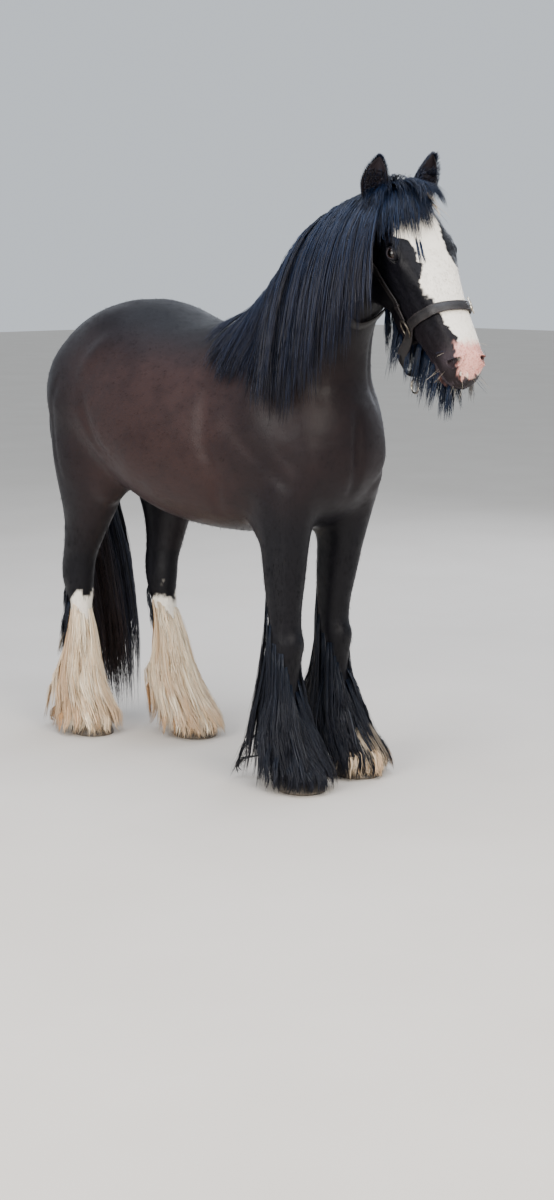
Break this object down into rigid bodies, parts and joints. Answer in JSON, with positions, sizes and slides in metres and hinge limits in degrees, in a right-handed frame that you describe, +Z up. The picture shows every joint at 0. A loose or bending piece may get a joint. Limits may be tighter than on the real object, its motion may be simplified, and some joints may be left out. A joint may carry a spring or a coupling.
{
  "type": "cob horse figure",
  "caption": "Life-size still figure of a standing heavy cob horse with full mane, long feathered legs and a leather headcollar, head turned slightly to its right",
  "frame": {"origin": "On the floor, at the middle of the bounding box seen from above.", "axes": "+X is the way the horse faces, +Y its left side, +Z up. The four soles stand on Z = 0."},
  "size_m": [1.982, 0.6412, 1.8868],
  "materials": {
    "coat": "short black-brown horse coat",
    "eye": "wet dark eye",
    "horn": "hoof horn",
    "leather": "worn dark leather",
    "long_hair": "long coarse black hair",
    "metal": "dull metal fittings",
    "white_hair": "white lower-leg hair"
  },
  "bodies": {
    "root": {"buckle": "metal", "cheek_strap_left": "leather", "cheek_strap_right": "leather", "chin_ring": "metal", "ear_left": "coat", "ear_right": "coat", "eye_left": "eye", "eye_right": "eye", "fore_left_lower_leg": "coat", "fore_left_upper_leg": "coat", "fore_right_lower_leg": "coat", "fore_right_upper_leg": "coat", "head": "coat", "headpiece": "leather", "hind_left_lower_leg": "white_hair", "hind_left_upper_leg": "coat", "hind_right_lower_leg": "white_hair", "hind_right_upper_leg": "coat", "hoof_fore_left": "horn", "hoof_fore_right": "horn", "hoof_hind_left": "horn", "hoof_hind_right": "horn", "neck": "coat", "noseband": "leather", "ring_left": "metal", "ring_right": "metal", "tail": "long_hair", "torso": "coat"}
  },
  "joints": []
}
